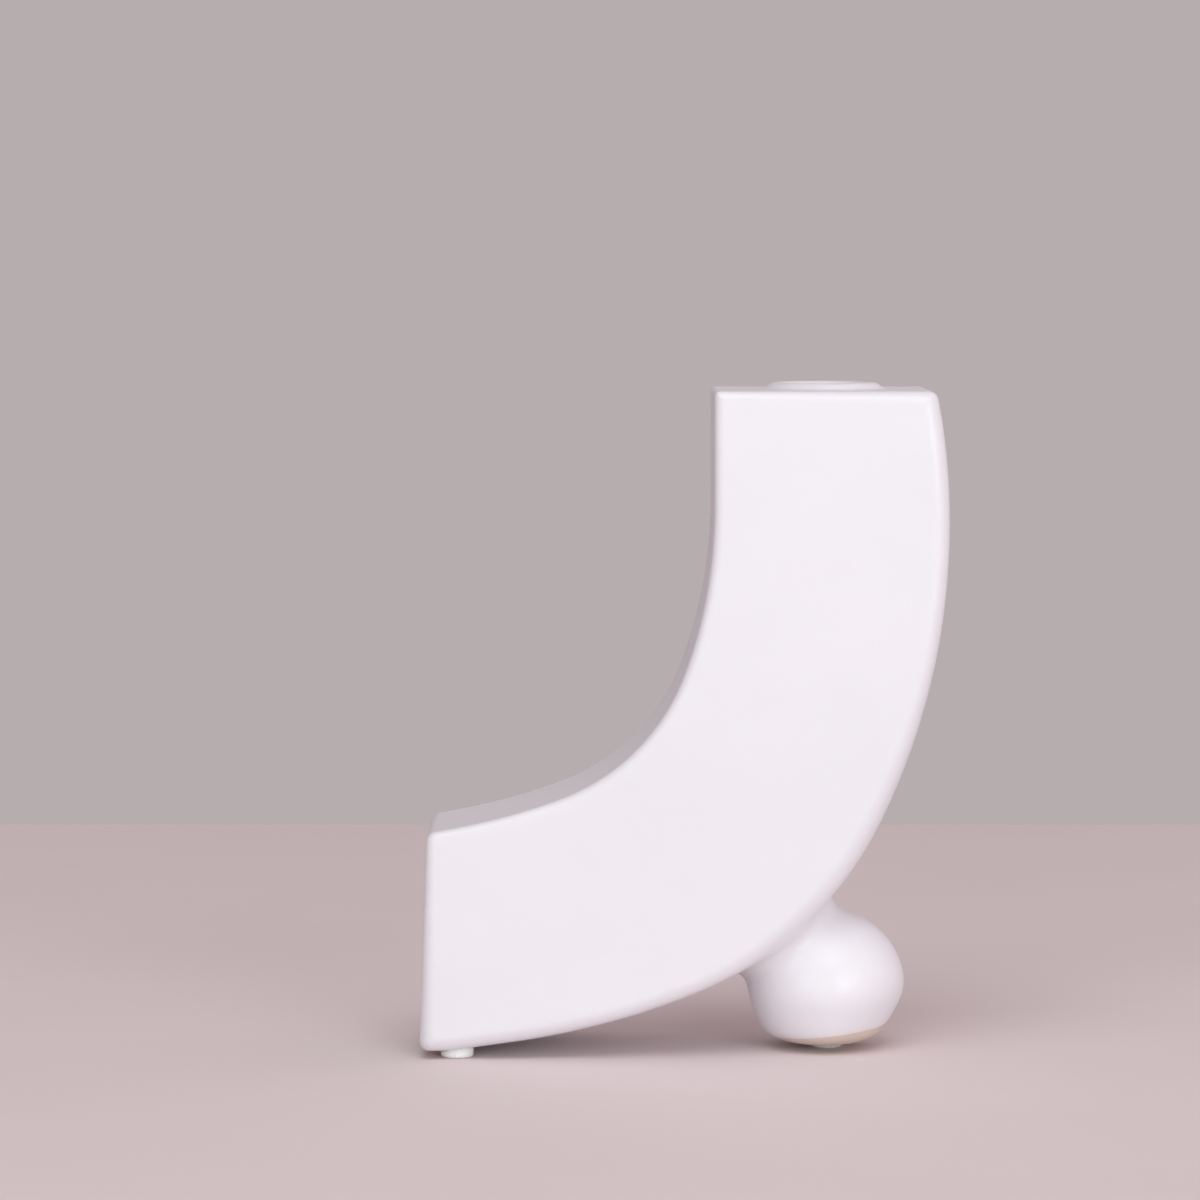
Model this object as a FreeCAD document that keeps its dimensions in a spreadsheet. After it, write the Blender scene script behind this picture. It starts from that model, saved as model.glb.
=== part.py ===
import FreeCAD, Part

import math
import os

import Sketcher

# Curved ceramic vase on a ball foot.
# A thick J-shaped band stands on its flat heel, at the left, and on a hollow ball under its bend.
# Millimetres and degrees. +Z is up, +X to the right and the front face looks towards -Y.
# The origin lies on the table, under the middle of the vase.

DIMENSIONS = [
    # The band: its length is measured from the heel, the sharp lower left corner.
    ("heel_offset", 64.05),
    ("base_height", 1.7),
    ("body_height", 160.0),
    ("band_depth", 45.0),
    ("edge_radius", 2.9),
    ("corner_radius", 3.0),
    ("end_lean", 2.0),
    # Convex edge, from the heel to the top: flat, heel arc, straight, low arc, bend, upright arc.
    ("base_flat", 4.5),
    ("heel_radius", 20.0),
    ("heel_turn", 7.8),
    ("outer_straight", 16.0),
    ("outer_low_radius", 183.8),
    ("outer_low_turn", 14.65),
    ("outer_bend_radius", 83.6),
    ("outer_bend_turn", 41.75),
    ("outer_top_radius", 165.0),
    # Concave edge, from the top to the heel: straight, upright arc, bend, low arc, straight.
    ("upright_reach", 71.25),
    ("inner_straight", 28.5),
    ("inner_top_radius", 114.0),
    ("inner_top_turn", 20.5),
    ("inner_bend_radius", 51.0),
    ("inner_bend_turn", 49.0),
    ("inner_low_radius", 150.0),
    ("inner_low_turn", 10.0),
    # Clay walls.
    ("face_wall", 4.5),
    ("strip_wall", 4.5),
    ("heel_wall", 4.5),
    ("lid_wall", 4.5),
    # Mouth.
    ("mouth_inset", 27.2),
    ("mouth_radius", 10.5),
    ("rim_width", 4.0),
    ("rim_height", 1.6),
    ("rim_round", 1.3),
    # Ball foot, the coil that joins it to the band, and the passage between them.
    ("joint_angle", 38.7),
    ("ball_sink", 1.5),
    ("ball_radius", 18.9),
    ("ball_wall", 4.3),
    ("ball_floor", 4.0),
    ("foot_height", 1.4),
    ("coil_round", 4.2),
    ("passage_radius", 4.0),
    # Bumper pads.
    ("pad_radius", 4.0),
    ("pad_round", 0.8),
    ("pad_inset", 9.2),
    ("pad_edge", 6.5),
    # How far a cutting tool runs past what it cuts.
    ("overrun", 5.0),
]

# How close two levels must be to count as one.
SAME_LEVEL = 1e-6
FULL_TURN = 360.0
CUBIC_MM_IN_CM = 1000.0

doc = FreeCAD.newDocument("vase")
sheet = doc.addObject("Spreadsheet::Sheet", "Sheet")
for row, (alias, value) in enumerate(DIMENSIONS, start=1):
    sheet.set(f"A{row}", alias)
    sheet.set(f"B{row}", str(value))
    sheet.setAlias(f"B{row}", alias)
doc.recompute()

HEEL_X = "-Sheet.heel_offset"
FLAT_END_X = "Sheet.base_flat - Sheet.heel_offset"
BASE_Z = "Sheet.base_height"
TOP_Z = "Sheet.base_height + Sheet.body_height"
UPRIGHT_X = "Sheet.upright_reach - Sheet.heel_offset"
HEEL_INSET = "Sheet.corner_radius / tan((90 - Sheet.end_lean) / 2)"
HALF_STRIP = "Sheet.band_depth / 2 - Sheet.face_wall"

# The centre of the convex edge's bend, from the lengths and turns that lead up to it.
LOW_TURN = "(Sheet.heel_turn + Sheet.outer_low_turn)"
LOW_STEP = "(Sheet.outer_low_radius - Sheet.outer_bend_radius)"
BEND_X = (
    "Sheet.base_flat - Sheet.heel_offset"
    " + (Sheet.heel_radius - Sheet.outer_low_radius) * sin(Sheet.heel_turn)"
    f" + Sheet.outer_straight * cos(Sheet.heel_turn) + {LOW_STEP} * sin({LOW_TURN})"
)
BEND_Z = (
    "Sheet.base_height + Sheet.heel_radius"
    " + (Sheet.outer_low_radius - Sheet.heel_radius) * cos(Sheet.heel_turn)"
    f" + Sheet.outer_straight * sin(Sheet.heel_turn) - {LOW_STEP} * cos({LOW_TURN})"
)

# The ball hangs on a line from that centre. The coil's hollow flank touches the wall and the ball,
# and the ball is cut flat where the flank reaches it.
CLEAR = "(Sheet.ball_radius - Sheet.ball_sink)"
REACH = f"(Sheet.outer_bend_radius + {CLEAR})"
BALL_X = f"{BEND_X} + {REACH} * sin(Sheet.joint_angle)"
BALL_Z = f"{BEND_Z} - {REACH} * cos(Sheet.joint_angle)"
FLANK_SHARE = "(Sheet.ball_radius / (Sheet.ball_radius + Sheet.coil_round))"
FLANK_OUT = f"sqrt((Sheet.ball_radius + Sheet.coil_round) ^ 2 - ({CLEAR} - Sheet.coil_round) ^ 2)"
SEAT = f"{REACH} - ({CLEAR} - Sheet.coil_round) * {FLANK_SHARE}"


def size(alias):
    """One number of the sheet."""
    return float(getattr(sheet, alias))


def radians(alias):
    return math.radians(size(alias))


class Chain:
    """A run of lines and tangent arcs, drawn into one sketch with its sizes bound to the sheet.

    Each step starts where the last one ended. heading is the direction of travel, in radians.
    """

    def __init__(self, sketch, x, z, heading):
        self.sketch = sketch
        self.x = x
        self.z = z
        self.heading = heading
        self.steps = []

    def line(self, length):
        start = FreeCAD.Vector(self.x, self.z, 0)
        self.x += length * math.cos(self.heading)
        self.z += length * math.sin(self.heading)
        end = FreeCAD.Vector(self.x, self.z, 0)
        geo = self.sketch.addGeometry(Part.LineSegment(start, end), False)
        self.join(geo, 1, 2)
        return geo

    def arc(self, radius, turn, radius_size, turn_size=None):
        """A tangent arc: a positive turn bends to the left of the direction of travel."""
        side = math.copysign(1.0, turn)
        centre_x = self.x - side * radius * math.sin(self.heading)
        centre_z = self.z + side * radius * math.cos(self.heading)
        begin = self.heading - side * math.pi / 2
        circle = Part.Circle(FreeCAD.Vector(centre_x, centre_z, 0), FreeCAD.Vector(0, 0, 1), radius)
        low, high = sorted((begin, begin + turn))
        geo = self.sketch.addGeometry(Part.ArcOfCircle(circle, low, high), False)
        self.heading += turn
        self.x = centre_x + side * radius * math.sin(self.heading)
        self.z = centre_z - side * radius * math.cos(self.heading)
        self.join(geo, *((1, 2) if side > 0 else (2, 1)))
        bind(self.sketch, Sketcher.Constraint("Radius", geo, radius), f"Sheet.{radius_size}")
        if turn_size:
            bind(self.sketch, Sketcher.Constraint("Angle", geo, abs(turn)), f"Sheet.{turn_size}")
        return geo

    def join(self, geo, start, end):
        if self.steps:
            before, _, leave = self.steps[-1]
            self.sketch.addConstraint(Sketcher.Constraint("Tangent", before, leave, geo, start))
        self.steps.append((geo, start, end))

    def close(self):
        first, start, _ = self.steps[0]
        last, _, end = self.steps[-1]
        self.sketch.addConstraint(Sketcher.Constraint("Tangent", last, end, first, start))


def bind(sketch, constraint, formula):
    """Adds a dimension to a sketch and binds it to the sheet."""
    index = sketch.addConstraint(constraint)
    sketch.setExpression(f"Constraints[{index}]", formula)


def new_body(name):
    body = doc.addObject("PartDesign::Body", name)
    body.Label = name
    return body


def new_sketch(body, name, plane):
    sketch = body.newObject("Sketcher::SketchObject", name)
    origin = [o for o in body.Origin.OriginFeatures if o.Role == plane]
    sketch.AttachmentSupport = [(origin[0], "")]
    sketch.MapMode = "FlatFace"
    return sketch


def place(feature, x="0", y="0", z="0"):
    """Binds where a feature stands."""
    feature.setExpression("Placement.Base.x", x)
    feature.setExpression("Placement.Base.y", y)
    feature.setExpression("Placement.Base.z", z)


def outer_run(chain, start_inset):
    """The convex edge from the heel to the foot of its last arc."""
    flat = chain.line(size("base_flat") - start_inset)
    sketch = chain.sketch
    sketch.addConstraint(Sketcher.Constraint("Horizontal", flat))
    bind(sketch, Sketcher.Constraint("DistanceY", -1, 1, flat, 1, size("base_height")), BASE_Z)
    end_x = size("base_flat") - size("heel_offset")
    bind(sketch, Sketcher.Constraint("DistanceX", -1, 1, flat, 2, end_x), FLAT_END_X)
    chain.arc(size("heel_radius"), radians("heel_turn"), "heel_radius", "heel_turn")
    straight = chain.line(size("outer_straight"))
    bind(sketch, Sketcher.Constraint("Distance", straight, size("outer_straight")), "Sheet.outer_straight")
    chain.arc(size("outer_low_radius"), radians("outer_low_turn"), "outer_low_radius", "outer_low_turn")
    chain.arc(size("outer_bend_radius"), radians("outer_bend_turn"), "outer_bend_radius", "outer_bend_turn")
    return flat


def inner_run(chain, start_inset):
    """The concave edge from the top to the end of its last arc."""
    straight = chain.line(size("inner_straight") - start_inset)
    sketch = chain.sketch
    sketch.addConstraint(Sketcher.Constraint("Vertical", straight))
    upright_x = size("upright_reach") - size("heel_offset")
    bind(sketch, Sketcher.Constraint("DistanceX", -1, 1, straight, 1, upright_x), UPRIGHT_X)
    foot_z = size("base_height") + size("body_height") - size("inner_straight")
    foot_formula = f"{TOP_Z} - Sheet.inner_straight"
    bind(sketch, Sketcher.Constraint("DistanceY", -1, 1, straight, 2, foot_z), foot_formula)
    chain.arc(size("inner_top_radius"), -radians("inner_top_turn"), "inner_top_radius", "inner_top_turn")
    chain.arc(size("inner_bend_radius"), -radians("inner_bend_turn"), "inner_bend_radius", "inner_bend_turn")
    chain.arc(size("inner_low_radius"), -radians("inner_low_turn"), "inner_low_radius", "inner_low_turn")
    return straight


def crest_turn(chain, radius, rounding, top):
    """The turn of an arc of this radius that leaves a corner of this rounding just under the top."""
    centre_z = chain.z + radius * math.cos(chain.heading)
    rise = (top - rounding - centre_z) / (radius - rounding)
    return math.asin(rise) + math.pi / 2 - chain.heading


def outline(sketch):
    """The closed outline of the band, with its four corners rounded."""
    corner = size("corner_radius")
    lean = radians("end_lean")
    top = size("base_height") + size("body_height")
    inset = corner / math.tan((math.pi / 2 - lean) / 2)
    start_x = inset - size("heel_offset")
    chain = Chain(sketch, start_x, size("base_height"), 0.0)
    flat = outer_run(chain, inset)
    bind(sketch, Sketcher.Constraint("DistanceX", -1, 1, flat, 1, start_x), f"{HEEL_X} + {HEEL_INSET}")
    radius = size("outer_top_radius")
    chain.arc(radius, crest_turn(chain, radius, corner, top), "outer_top_radius")
    chain.arc(corner, math.pi - chain.heading, "corner_radius")
    upright_x = size("upright_reach") - size("heel_offset")
    lid = chain.line(chain.x - upright_x - corner)
    sketch.addConstraint(Sketcher.Constraint("Horizontal", lid))
    bind(sketch, Sketcher.Constraint("DistanceY", -1, 1, lid, 1, top), TOP_Z)
    chain.arc(corner, math.pi / 2, "corner_radius")
    inner_run(chain, corner)
    # The last straight meets the leaning end: both lose the length that their rounded corner takes.
    end_heading = 3 * math.pi / 2 - lean
    reach_x = chain.x + size("heel_offset")
    reach_z = chain.z - size("base_height")
    along = math.sin(end_heading) * reach_x - math.cos(end_heading) * reach_z
    straight_length = abs(along / math.sin(end_heading - chain.heading))
    meet_z = chain.z + straight_length * math.sin(chain.heading)
    turn = end_heading - chain.heading
    cut = corner * math.tan(turn / 2)
    chain.line(straight_length - cut)
    chain.arc(corner, turn, "corner_radius")
    end_length = (meet_z - size("base_height")) / math.cos(lean) - cut - inset
    end = chain.line(end_length)
    angle = math.pi / 2 - lean
    bind(sketch, Sketcher.Constraint("Angle", -1, 1, end, 2, angle), "90 - Sheet.end_lean")
    chain.arc(corner, math.pi / 2 + lean, "corner_radius")
    chain.close()


def pad_outline(name, thickness):
    """A body of the band's outline, as thick as a formula of the sheet says."""
    body = new_body(name)
    sketch = new_sketch(body, f"{name}_outline", "XZ_Plane")
    outline(sketch)
    doc.recompute()
    pad = body.newObject("PartDesign::Pad", f"{name}_pad")
    pad.Profile = sketch
    pad.setExpression("Length", thickness)
    pad.Midplane = True
    doc.recompute()
    return body, pad


def face_slab(name, side):
    """The flat front or rear slab, with its outer edge rounded all the way round."""
    body, pad = pad_outline(name, "Sheet.face_wall")
    outer_y = side * size("face_wall") / 2
    rim = []
    for index, edge in enumerate(pad.Shape.Edges, start=1):
        box = edge.BoundBox
        if abs(box.YMin - outer_y) < SAME_LEVEL and abs(box.YMax - outer_y) < SAME_LEVEL:
            rim.append(f"Edge{index}")
    fillet = body.newObject("PartDesign::Fillet", f"{name}_edge")
    fillet.Base = (pad, rim)
    fillet.setExpression("Radius", "Sheet.edge_radius")
    pad.Visibility = False
    sign = "-" if side < 0 else ""
    place(body, y=f"{sign}(Sheet.band_depth - Sheet.face_wall) / 2")
    return body


def rectangle(sketch, low, high, formulas):
    """A rectangle whose left, lower, right and upper sides are bound to the sheet."""
    corners = [(low[0], low[1]), (high[0], low[1]), (high[0], high[1]), (low[0], high[1])]
    points = [FreeCAD.Vector(x, y, 0) for x, y in corners]
    for first, second in zip(points, points[1:] + points[:1]):
        sketch.addGeometry(Part.LineSegment(first, second), False)
    for side in range(4):
        sketch.addConstraint(Sketcher.Constraint("Coincident", side, 2, (side + 1) % 4, 1))
        sketch.addConstraint(Sketcher.Constraint("Vertical" if side % 2 else "Horizontal", side))
    left, lower, right, upper = formulas
    bind(sketch, Sketcher.Constraint("DistanceX", -1, 1, 0, 1, low[0]), left)
    bind(sketch, Sketcher.Constraint("DistanceY", -1, 1, 0, 1, low[1]), lower)
    bind(sketch, Sketcher.Constraint("DistanceX", -1, 1, 2, 1, high[0]), right)
    bind(sketch, Sketcher.Constraint("DistanceY", -1, 1, 2, 1, high[1]), upper)


def sweep(body, profile, path):
    doc.recompute()
    pipe = body.newObject("PartDesign::AdditivePipe", f"{body.Name}_sweep")
    pipe.Profile = profile
    pipe.Spine = (path, [f"Edge{n + 1}" for n in range(path.GeometryCount)])
    doc.recompute()
    return pipe


def outer_strip():
    """The bent strip of the convex side, swept from the heel to the top."""
    body = new_body("outer_strip")
    path = new_sketch(body, "outer_path", "XZ_Plane")
    chain = Chain(path, -size("heel_offset"), size("base_height"), 0.0)
    flat = outer_run(chain, 0.0)
    bind(path, Sketcher.Constraint("DistanceX", -1, 1, flat, 1, -size("heel_offset")), HEEL_X)
    radius = size("outer_top_radius")
    top = size("base_height") + size("body_height")
    last = chain.arc(radius, crest_turn(chain, radius, 0.0, top), "outer_top_radius")
    bind(path, Sketcher.Constraint("DistanceY", -1, 1, last, 2, top), TOP_Z)
    profile = new_sketch(body, "outer_section", "YZ_Plane")
    profile.setExpression("AttachmentOffset.Base.z", HEEL_X)
    half = size("band_depth") / 2 - size("face_wall")
    low = size("base_height")
    sides = (f"-({HALF_STRIP})", BASE_Z, HALF_STRIP, f"{BASE_Z} + Sheet.strip_wall")
    rectangle(profile, (-half, low), (half, low + size("strip_wall")), sides)
    sweep(body, profile, path)
    return body


def inner_strip():
    """The bent strip of the concave side, swept from the top to the heel."""
    body = new_body("inner_strip")
    top = size("base_height") + size("body_height")
    upright_x = size("upright_reach") - size("heel_offset")
    path = new_sketch(body, "inner_path", "XZ_Plane")
    chain = Chain(path, upright_x, top, -math.pi / 2)
    straight = inner_run(chain, 0.0)
    bind(path, Sketcher.Constraint("DistanceY", -1, 1, straight, 1, top), TOP_Z)
    last = chain.line((chain.x + size("heel_offset")) / abs(math.cos(chain.heading)))
    bind(path, Sketcher.Constraint("DistanceX", -1, 1, last, 2, -size("heel_offset")), HEEL_X)
    profile = new_sketch(body, "inner_section", "XY_Plane")
    profile.setExpression("AttachmentOffset.Base.z", TOP_Z)
    half = size("band_depth") / 2 - size("face_wall")
    sides = (UPRIGHT_X, f"-({HALF_STRIP})", f"{UPRIGHT_X} + Sheet.strip_wall", HALF_STRIP)
    rectangle(profile, (upright_x, -half), (upright_x + size("strip_wall"), half), sides)
    sweep(body, profile, path)
    return body


def block(name, x, y, z, length, width, height):
    """A plain box that other pieces are cut to."""
    box = doc.addObject("Part::Box", name)
    place(box, x, y, z)
    box.setExpression("Length", length)
    box.setExpression("Width", width)
    box.setExpression("Height", height)
    return box


def boolean(kind, name, base, tool):
    result = doc.addObject(f"Part::{kind}", name)
    result.Base = base
    result.Tool = tool
    result.Label = name
    return result


def ring_body(name, radii, height, rounded, rounding):
    """A disc or ring on its own XY plane, with the named ends rounded."""
    body = new_body(name)
    sketch = new_sketch(body, f"{name}_section", "XY_Plane")
    for formula, radius in radii:
        circle = Part.Circle(FreeCAD.Vector(0, 0, 0), FreeCAD.Vector(0, 0, 1), radius)
        geo = sketch.addGeometry(circle, False)
        sketch.addConstraint(Sketcher.Constraint("Coincident", geo, 3, -1, 1))
        bind(sketch, Sketcher.Constraint("Radius", geo, radius), formula)
    doc.recompute()
    pad = body.newObject("PartDesign::Pad", f"{name}_pad")
    pad.Profile = sketch
    pad.setExpression("Length", height)
    doc.recompute()
    level = 0.0 if rounded == "bottom" else float(pad.Length)
    edges = []
    for index, edge in enumerate(pad.Shape.Edges, start=1):
        box = edge.BoundBox
        if abs(box.ZMin - level) < SAME_LEVEL and abs(box.ZMax - level) < SAME_LEVEL:
            edges.append(f"Edge{index}")
    fillet = body.newObject("PartDesign::Fillet", f"{name}_round")
    fillet.Base = (pad, edges)
    fillet.setExpression("Radius", rounding)
    pad.Visibility = False
    return body


def aim(feature):
    """Stands a feature on the bend's centre, with its own Z axis through the ball's centre."""
    feature.Placement = FreeCAD.Placement(
        FreeCAD.Vector(0, 0, 0), FreeCAD.Rotation(FreeCAD.Vector(0, 1, 0), 90)
    )
    place(feature, x="bend_drum.Placement.Base.x", z="bend_drum.Placement.Base.z")
    feature.setExpression("Placement.Rotation.Angle", "180 - Sheet.joint_angle")


def drum(name, radius, height):
    """A cylinder along the line from the bend's centre to the ball's centre."""
    cylinder = doc.addObject("Part::Cylinder", name)
    cylinder.setExpression("Radius", radius)
    cylinder.setExpression("Height", height)
    aim(cylinder)
    return cylinder


def make_bend_drum():
    """The round surface of the outer wall at the bend, as a drum across the band."""
    cylinder = doc.addObject("Part::Cylinder", "bend_drum")
    cylinder.Placement = FreeCAD.Placement(
        FreeCAD.Vector(0, 0, 0), FreeCAD.Rotation(FreeCAD.Vector(1, 0, 0), 90)
    )
    place(cylinder, BEND_X, "Sheet.band_depth / 2", BEND_Z)
    cylinder.setExpression("Radius", "Sheet.outer_bend_radius")
    cylinder.setExpression("Height", "Sheet.band_depth")
    return cylinder


def coil_blank():
    """The coil before it is fitted to the wall: a ring with a hollow rounded flank."""
    body = new_body("coil_blank")
    aim(body)
    ball = size("ball_radius")
    rounding = size("coil_round")
    bend = size("outer_bend_radius")
    clear = ball - size("ball_sink")
    flank_out = math.sqrt((ball + rounding) ** 2 - (clear - rounding) ** 2)
    flank_share = ball / (ball + rounding)
    seat = bend + clear - (clear - rounding) * flank_share
    flank_up = bend + rounding
    foot = bend - size("strip_wall")
    bore = size("passage_radius")
    sketch = new_sketch(body, "coil_section", "XZ_Plane")
    rim = flank_out * flank_share
    corners = [(flank_out, bend), (flank_out, foot), (bore, foot), (bore, seat), (rim, seat)]
    points = [FreeCAD.Vector(r, h, 0) for r, h in corners]
    circle = Part.Circle(FreeCAD.Vector(flank_out, flank_up, 0), FreeCAD.Vector(0, 0, 1), rounding)
    begin = math.atan2(seat - flank_up, rim - flank_out)
    flank = sketch.addGeometry(Part.ArcOfCircle(circle, begin, 3 * math.pi / 2), False)
    skirt, under, inside, top = [
        sketch.addGeometry(Part.LineSegment(first, second), False)
        for first, second in zip(points, points[1:])
    ]
    for first, end, second, start in (
        (flank, 2, skirt, 1),
        (skirt, 2, under, 1),
        (under, 2, inside, 1),
        (inside, 2, top, 1),
        (top, 2, flank, 1),
    ):
        sketch.addConstraint(Sketcher.Constraint("Coincident", first, end, second, start))
    for line in (skirt, inside):
        sketch.addConstraint(Sketcher.Constraint("Vertical", line))
    for line in (under, top):
        sketch.addConstraint(Sketcher.Constraint("Horizontal", line))
    sketch.addConstraint(Sketcher.Constraint("Vertical", flank, 2, flank, 3))
    flank_up_formula = "Sheet.outer_bend_radius + Sheet.coil_round"
    foot_formula = "Sheet.outer_bend_radius - Sheet.strip_wall"
    bind(sketch, Sketcher.Constraint("Radius", flank, rounding), "Sheet.coil_round")
    bind(sketch, Sketcher.Constraint("DistanceX", -1, 1, flank, 3, flank_out), FLANK_OUT)
    bind(sketch, Sketcher.Constraint("DistanceY", -1, 1, flank, 3, flank_up), flank_up_formula)
    bind(sketch, Sketcher.Constraint("DistanceX", -1, 1, inside, 1, bore), "Sheet.passage_radius")
    bind(sketch, Sketcher.Constraint("DistanceY", -1, 1, inside, 1, foot), foot_formula)
    bind(sketch, Sketcher.Constraint("DistanceY", -1, 1, inside, 2, seat), SEAT)
    doc.recompute()
    turn = body.newObject("PartDesign::Revolution", "coil_turn")
    turn.Profile = sketch
    turn.ReferenceAxis = (sketch, ["V_Axis"])
    turn.Angle = FULL_TURN
    doc.recompute()
    return body


def check_and_export(nodes):
    """Refuses a failed object or a bad shape, then writes one STEP file for each piece."""
    doc.recompute()
    for item in doc.Objects:
        bad = {"Invalid", "Error"} & set(item.State)
        if bad:
            raise RuntimeError(f"{item.Name} is {sorted(bad)}")
    os.makedirs("parts", exist_ok=True)
    for node in nodes:
        shape = node.Shape
        if shape.isNull() or not shape.isValid() or not shape.Solids:
            raise RuntimeError(f"{node.Label} has no valid solid")
        shape.exportStep(f"parts/{node.Label}.step")
        print(f"{node.Label}: {len(shape.Solids)} solid, {shape.Volume / CUBIC_MM_IN_CM:.2f} cm3")


front_slab = face_slab("front_slab", -1)
rear_slab = face_slab("rear_slab", 1)

core, core_pad = pad_outline("core", "Sheet.band_depth - 2 * Sheet.face_wall")
lid_block = block(
    "lid_block",
    HEEL_X,
    "-Sheet.band_depth / 2",
    f"{TOP_Z} - Sheet.lid_wall",
    "2 * Sheet.body_height",
    "Sheet.band_depth",
    "Sheet.lid_wall + Sheet.overrun",
)
heel_block = block(
    "heel_block",
    f"{HEEL_X} - Sheet.overrun",
    "-Sheet.band_depth / 2",
    "Sheet.base_height - Sheet.overrun",
    "Sheet.heel_wall + Sheet.overrun",
    "Sheet.band_depth",
    "Sheet.body_height",
)
trims = doc.addObject("Part::MultiFuse", "trims")
trims.Shapes = [lid_block, heel_block]

bend_drum = make_bend_drum()
ball_outside = doc.addObject("Part::Sphere", "ball_outside")
ball_outside.setExpression("Radius", "Sheet.ball_radius")
place(ball_outside, x=BALL_X, z=BALL_Z)
doc.recompute()
passage = drum("passage", "Sheet.passage_radius", REACH)

end_wall = boolean("Common", "end_wall", core, heel_block)
inner_wall = boolean("Cut", "inner_wall", inner_strip(), trims)
outer_cut = boolean("Cut", "outer_cut", outer_strip(), trims)
outer_wall = boolean("Cut", "outer_wall", outer_cut, passage)

mouth_bore = doc.addObject("Part::Cylinder", "mouth_bore")
mouth_bore.setExpression("Radius", "Sheet.mouth_radius")
mouth_bore.setExpression("Height", "Sheet.lid_wall + 2 * Sheet.overrun")
MOUTH_X = f"{UPRIGHT_X} + Sheet.mouth_inset"
place(mouth_bore, x=MOUTH_X, z=f"{TOP_Z} - Sheet.lid_wall - Sheet.overrun")
lid = boolean("Common", "lid", core, lid_block)
top_plate = boolean("Cut", "top_plate", lid, mouth_bore)

mouth_rim = ring_body(
    "mouth_rim",
    [
        ("Sheet.mouth_radius + Sheet.rim_width", size("mouth_radius") + size("rim_width")),
        ("Sheet.mouth_radius", size("mouth_radius")),
    ],
    "Sheet.rim_height",
    "top",
    "Sheet.rim_round",
)
place(mouth_rim, x=MOUTH_X, z=TOP_Z)


def make_ball():
    """The hollow ball: flat under, flat where the coil sits, and open to the passage."""
    hollow = doc.addObject("Part::Sphere", "ball_inside")
    hollow.setExpression("Radius", "Sheet.ball_radius - Sheet.ball_wall")
    place(hollow, x=BALL_X, z=BALL_Z)
    span = "2 * (Sheet.ball_radius + Sheet.overrun)"
    left = f"{BALL_X} - Sheet.ball_radius - Sheet.overrun"
    front = "-Sheet.ball_radius - Sheet.overrun"
    under = block("under_foot", left, front, f"{BASE_Z} - {span}", span, span, f"{span} + Sheet.foot_height")
    floor = block("ball_floor", left, front, f"{BASE_Z} - {span}", span, span, f"{span} + Sheet.ball_floor")
    slice_block = block("foot_slice", left, front, BASE_Z, span, span, "Sheet.foot_height")
    seat = drum("seat_drum", "Sheet.ball_radius + Sheet.overrun", SEAT)
    hollow_cut = boolean("Cut", "hollow_cut", hollow, floor)
    tools = doc.addObject("Part::MultiFuse", "ball_tools")
    tools.Shapes = [hollow_cut, under, seat, passage]
    shell = boolean("Cut", "ball_foot", ball_outside, tools)
    disc = boolean("Common", "foot_disc", ball_outside, slice_block)
    return shell, disc


ball_foot, foot_disc = make_ball()
joint_coil = boolean("Cut", "joint_coil", coil_blank(), bend_drum)

def make_pad(name, x, y, height):
    """A round bumper standing on the table, its lower edge rounded."""
    radii = [("Sheet.pad_radius", size("pad_radius"))]
    pad = ring_body(name, radii, height, "bottom", "Sheet.pad_round")
    place(pad, x=x, y=y)
    return pad


# The two heel pads start as tall posts and lose what lies inside the band, so that they fill the
# space under its slope.
PAD_X = f"{HEEL_X} + Sheet.pad_inset"
PAD_SIDE = "Sheet.band_depth / 2 - Sheet.pad_edge"
POST = f"{BASE_Z} + Sheet.pad_radius"
heel_form, _ = pad_outline("heel_form", "Sheet.band_depth")
front_pad = boolean("Cut", "front_pad", make_pad("front_post", PAD_X, f"-({PAD_SIDE})", POST), heel_form)
rear_pad = boolean("Cut", "rear_pad", make_pad("rear_post", PAD_X, PAD_SIDE, POST), heel_form)
ball_pad = make_pad("ball_pad", BALL_X, "0", BASE_Z)

check_and_export(
    [
        front_slab,
        rear_slab,
        inner_wall,
        outer_wall,
        end_wall,
        top_plate,
        mouth_rim,
        ball_foot,
        joint_coil,
        foot_disc,
        front_pad,
        rear_pad,
        ball_pad,
    ]
)
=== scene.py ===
import math

import bmesh
import bpy
import numpy as np
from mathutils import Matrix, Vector


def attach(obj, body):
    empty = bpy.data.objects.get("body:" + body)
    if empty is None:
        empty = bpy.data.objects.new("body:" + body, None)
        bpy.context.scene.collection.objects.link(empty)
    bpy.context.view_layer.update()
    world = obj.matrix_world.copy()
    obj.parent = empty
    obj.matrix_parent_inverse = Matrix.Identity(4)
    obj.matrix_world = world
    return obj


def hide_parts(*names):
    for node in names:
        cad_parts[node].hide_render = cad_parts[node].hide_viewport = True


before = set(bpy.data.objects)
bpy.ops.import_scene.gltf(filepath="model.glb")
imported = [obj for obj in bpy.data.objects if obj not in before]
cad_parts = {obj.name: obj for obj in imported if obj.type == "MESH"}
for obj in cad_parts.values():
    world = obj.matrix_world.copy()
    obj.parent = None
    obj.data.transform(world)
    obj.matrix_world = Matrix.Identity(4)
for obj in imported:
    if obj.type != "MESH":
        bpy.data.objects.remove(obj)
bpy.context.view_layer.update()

# Lengths are in millimetres up to the point where a mesh is made.
MM = 0.001

# The band.
HEEL_X = -64.05
BASE_Z = 1.7
TOP_Z = 161.7
DEPTH = 45.0
# Corners of the outline; the one at the top of the concave side is sharper.
CORNER_RADIUS = 2.6
INNER_CORNER = 1.3
# The long edges are rounder on the convex side than on the concave one.
OUTER_EDGE = 3.8
INNER_EDGE = 2.2
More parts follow.
